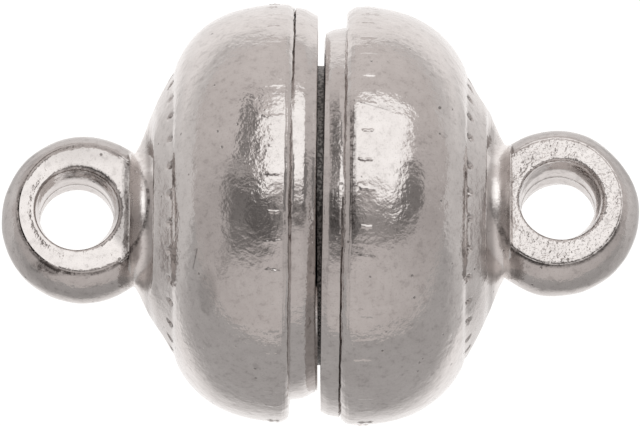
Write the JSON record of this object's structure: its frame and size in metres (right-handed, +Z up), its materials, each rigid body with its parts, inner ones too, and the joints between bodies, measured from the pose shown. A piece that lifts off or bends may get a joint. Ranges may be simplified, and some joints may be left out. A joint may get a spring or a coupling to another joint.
{
  "type": "magnetic jewellery clasp",
  "caption": "Round magnetic jewellery clasp: two domed cast cups, each with a disc magnet in its mouth and a loop at its back. The halves pull apart and swivel.",
  "frame": {"origin": "on the surface that the closed clasp lies on, below the middle of its outline, in line with the gap between the two lips", "axes": "+X along the clasp from the socket's loop to the plug's loop, +Z up from the surface, through the socket loop's hole"},
  "size_m": [0.0122, 0.0081, 0.008],
  "materials": {
    "plated_casting": "satin grey plating over a slightly rough zinc casting",
    "magnet": "dull dark plated disc magnet"
  },
  "bodies": {
    "socket_half": {"socket_cup": "plated_casting", "socket_magnet": "magnet"},
    "plug_core": {"plug_magnet": "magnet"},
    "plug_half": {"plug_cup": "plated_casting"}
  },
  "joints": [
    {"name": "pull_apart", "type": "slide", "parent": "socket_half", "child": "plug_core", "axis": [0.9999, -0.014, 0], "range_m": [0, 0.01]},
    {"name": "swivel", "type": "hinge", "parent": "plug_core", "child": "plug_half", "pos_m": [0, -0.00003, 0.00393], "axis": [0.9999, -0.014, 0], "continuous": true}
  ]
}
